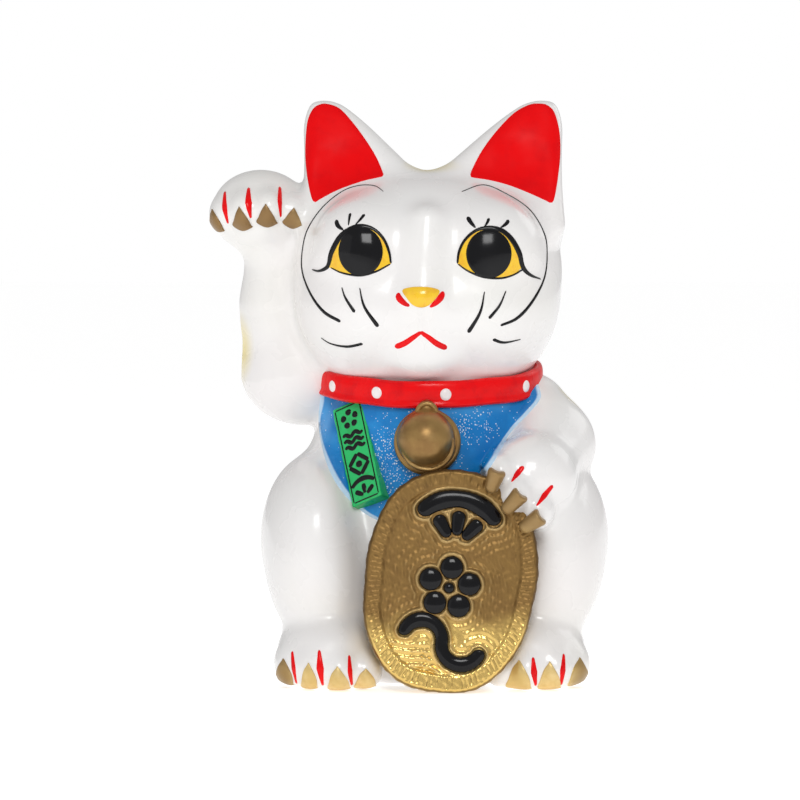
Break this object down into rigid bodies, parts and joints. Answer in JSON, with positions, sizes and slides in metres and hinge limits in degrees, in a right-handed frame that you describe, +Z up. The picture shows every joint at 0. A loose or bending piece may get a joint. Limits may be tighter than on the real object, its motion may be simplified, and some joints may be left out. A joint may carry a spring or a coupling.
{
  "type": "beckoning cat money bank",
  "caption": "Seated beckoning cat money bank in glazed earthenware with a raised paw, collar, bib, bell, plaque, oval coin, back coin slot and a pull-out base plug.",
  "frame": {"origin": "middle of the flat foot ring that the cat stands on, under the hollow torso", "axes": "+Z up; the cat looks along -Y; +X is to the right of someone facing the cat, so the raised arm is on -X"},
  "size_m": [0.1407, 0.131, 0.2095],
  "materials": {
    "white_glaze": "high gloss pearl white glaze",
    "red_enamel": "gloss red enamel",
    "white_enamel": "gloss white enamel",
    "blue_enamel": "gloss blue enamel with glitter",
    "bronze_paint": "satin bronze paint",
    "gold_paint": "brushed-on metallic gold paint",
    "black_enamel": "gloss black enamel",
    "green_enamel": "satin green enamel",
    "claw_gold": "metallic gold paint",
    "plug_rubber": "matt moulded rubber"
  },
  "bodies": {
    "cat": {"body_shell": "white_glaze", "head_shell": "white_glaze", "raised_arm": "white_glaze", "resting_arm": "white_glaze", "tail": "white_glaze", "collar": "red_enamel", "collar_studs": "white_enamel", "bib": "blue_enamel", "bell": "bronze_paint", "bell_loop": "bronze_paint", "coin": "gold_paint", "coin_emblem": "black_enamel", "plaque": "green_enamel", "raised_paw_claws": "claw_gold", "resting_paw_claws": "claw_gold", "right_foot_claws": "claw_gold", "left_foot_claws": "claw_gold"},
    "plug": {"base_plug": "plug_rubber"}
  },
  "joints": [
    {"name": "plug_pull", "type": "slide", "parent": "cat", "child": "plug", "axis": [0, 0, -1], "range_m": [0, 0.03]}
  ]
}
